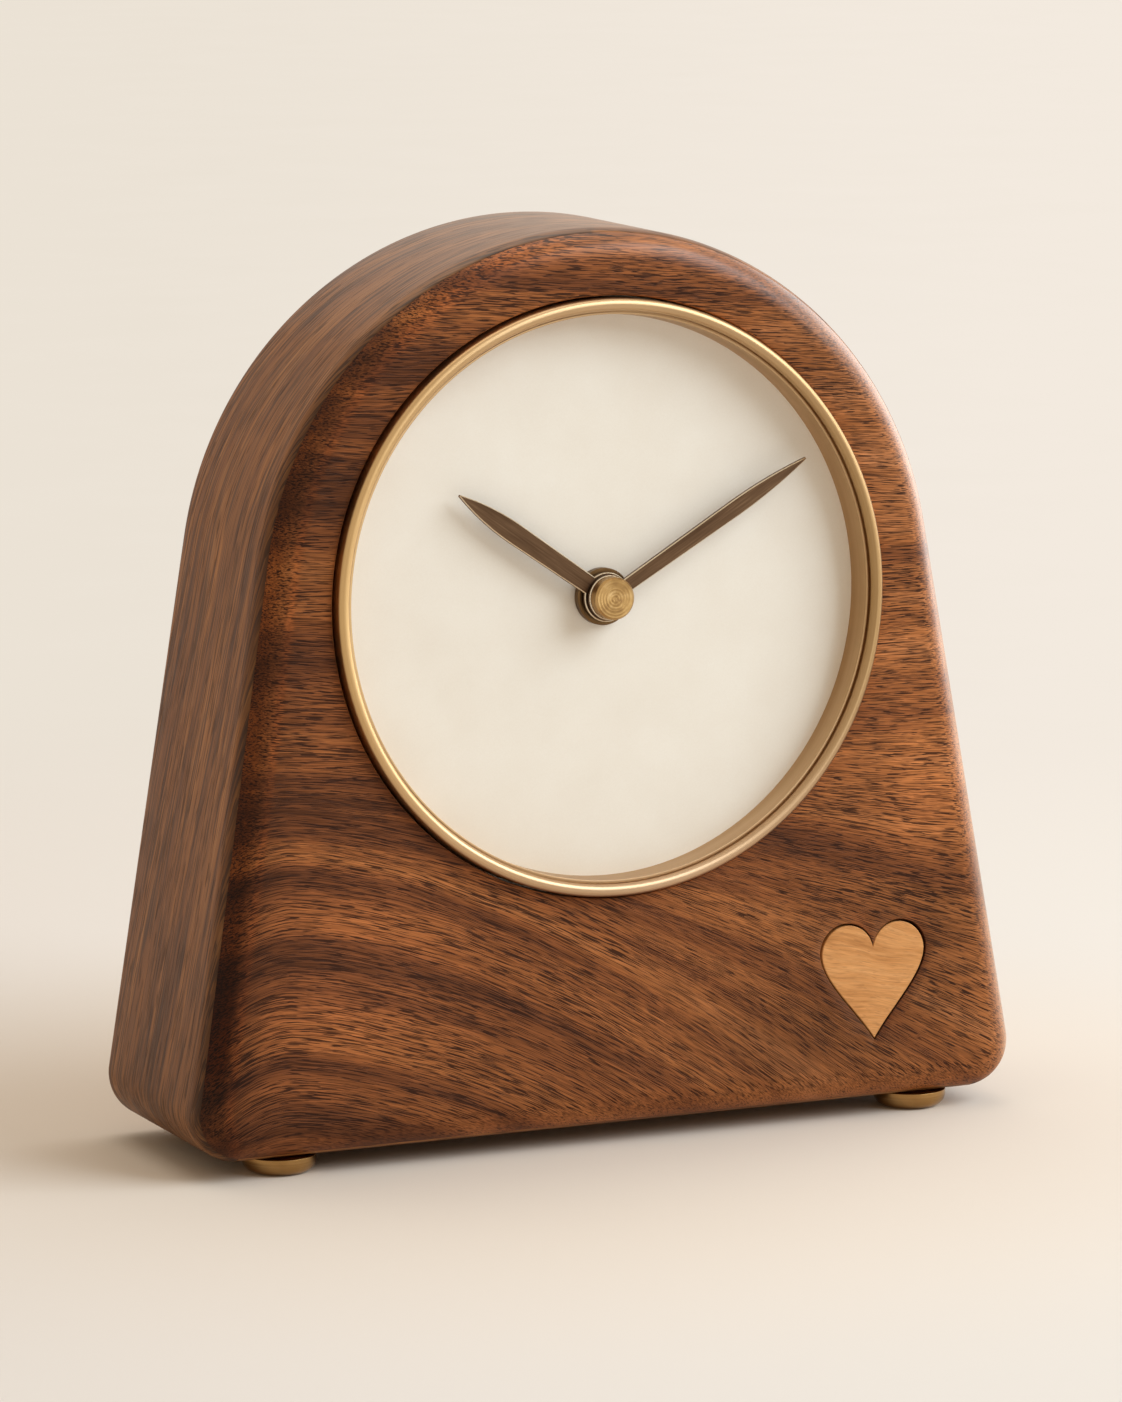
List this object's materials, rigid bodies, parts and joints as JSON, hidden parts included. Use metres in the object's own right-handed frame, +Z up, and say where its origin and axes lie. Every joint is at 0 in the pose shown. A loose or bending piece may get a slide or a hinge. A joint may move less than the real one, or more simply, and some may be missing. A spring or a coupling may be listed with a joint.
{
  "type": "desk clock",
  "caption": "Arched wooden desk clock with a leaning front, round recessed dial in a brass ring, two hands, heart inlay and round brass feet.",
  "frame": {"origin": "centre of the case's footprint on the surface that the feet stand on", "axes": "+Z up, the dial faces -Y, +X to the right of someone who reads the dial"},
  "size_m": [0.1575, 0.0471, 0.16],
  "materials": {
    "walnut_front": "oiled satin walnut, horizontal grain",
    "walnut_band": "oiled satin walnut, grain along the band",
    "panel_wood": "oiled veneered panel",
    "inlay_wood": "oiled light wood",
    "brass": "satin turned brass",
    "bronze": "brushed dark bronze",
    "dial_cream": "matte cream paint",
    "screw_steel": "plated steel",
    "black_plastic": "moulded black plastic",
    "white_plastic": "moulded natural plastic",
    "rubber": "soft black rubber",
    "magnet": "sintered magnet on a plastic pinion",
    "iron": "rolled soft iron",
    "copper": "enamelled copper wire",
    "board_green": "glass-fibre board",
    "cell_wrap": "printed-free wrap on a steel can"
  },
  "bodies": {
    "case": {"front_board": "walnut_front", "case_band": "walnut_band", "base_board": "walnut_band", "back_panel": "panel_wood", "heart_inlay": "inlay_wood", "bezel_ring": "brass", "dial": "dial_cream", "dial_nut": "bronze", "foot_front_left": "brass", "foot_front_right": "brass", "foot_rear_left": "brass", "foot_rear_right": "brass", "back_panel_screws": "brass", "foot_screws": "screw_steel", "movement_housing": "black_plastic", "movement_cover": "black_plastic", "train_plate": "white_plastic", "gasket": "rubber", "washer": "brass", "stator": "iron", "coil_core": "iron", "coil_bobbin": "white_plastic", "coil_winding": "copper", "circuit_board": "board_green", "quartz_crystal": "screw_steel", "battery_cell": "cell_wrap", "contact_positive": "screw_steel", "contact_negative": "screw_steel"},
    "minute_hand": {"minute_arbor": "brass", "minute_hand": "bronze", "cap_nut": "brass"},
    "hour_hand": {"hour_wheel": "white_plastic", "hour_hand": "bronze"},
    "minute_wheel": {"minute_wheel": "white_plastic"},
    "setting_knob": {"setting_stem": "white_plastic", "setting_knob": "black_plastic"},
    "rotor": {"rotor": "magnet"},
    "intermediate_wheel": {"intermediate_wheel": "white_plastic"},
    "fourth_wheel": {"fourth_wheel": "white_plastic"},
    "third_wheel": {"third_wheel": "white_plastic"},
    "centre_wheel": {"centre_wheel": "white_plastic"}
  },
  "joints": [
    {"name": "minute_hand_turn", "type": "hinge", "parent": "case", "child": "minute_hand", "pos_m": [0, -0.00802, 0.09585], "axis": [0, 0.9986, -0.0523], "continuous": true},
    {"name": "hour_hand_turn", "type": "hinge", "parent": "case", "child": "hour_hand", "pos_m": [0, -0.00802, 0.09585], "axis": [0, 0.9986, -0.0523], "continuous": true},
    {"name": "minute_wheel_turn", "type": "hinge", "parent": "case", "child": "minute_wheel", "pos_m": [0.0096, -0.00802, 0.09585], "axis": [0, 0.9986, -0.0523], "continuous": true},
    {"name": "setting_knob_turn", "type": "hinge", "parent": "case", "child": "setting_knob", "pos_m": [0.01921, -0.00802, 0.09585], "axis": [0, 0.9986, -0.0523], "continuous": true},
    {"name": "rotor_turn", "type": "hinge", "parent": "case", "child": "rotor", "pos_m": [0.00994, -0.00722, 0.11121], "axis": [0, 0.9986, -0.0523], "continuous": true},
    {"name": "intermediate_wheel_turn", "type": "hinge", "parent": "case", "child": "intermediate_wheel", "pos_m": [0.00602, -0.00757, 0.10443], "axis": [0, 0.9986, -0.0523], "continuous": true},
    {"name": "fourth_wheel_turn", "type": "hinge", "parent": "case", "child": "fourth_wheel", "pos_m": [0, -0.00802, 0.09585], "axis": [0, 0.9986, -0.0523], "continuous": true},
    {"name": "third_wheel_turn", "type": "hinge", "parent": "case", "child": "third_wheel", "pos_m": [-0.0062, -0.00756, 0.10469], "axis": [0, 0.9986, -0.0523], "continuous": true},
    {"name": "centre_wheel_turn", "type": "hinge", "parent": "case", "child": "centre_wheel", "pos_m": [0, -0.00802, 0.09585], "axis": [0, 0.9986, -0.0523], "continuous": true}
  ],
  "couplings": [
    {"joint": "hour_hand_turn", "follows": "minute_hand_turn", "ratio": 0.083333},
    {"joint": "minute_wheel_turn", "follows": "minute_hand_turn", "ratio": -0.33333},
    {"joint": "setting_knob_turn", "follows": "minute_hand_turn", "ratio": 1},
    {"joint": "intermediate_wheel_turn", "follows": "rotor_turn", "ratio": -0.16667},
    {"joint": "fourth_wheel_turn", "follows": "rotor_turn", "ratio": 0.033333},
    {"joint": "third_wheel_turn", "follows": "rotor_turn", "ratio": -0.0044444},
    {"joint": "centre_wheel_turn", "follows": "rotor_turn", "ratio": 0.00055556}
  ]
}
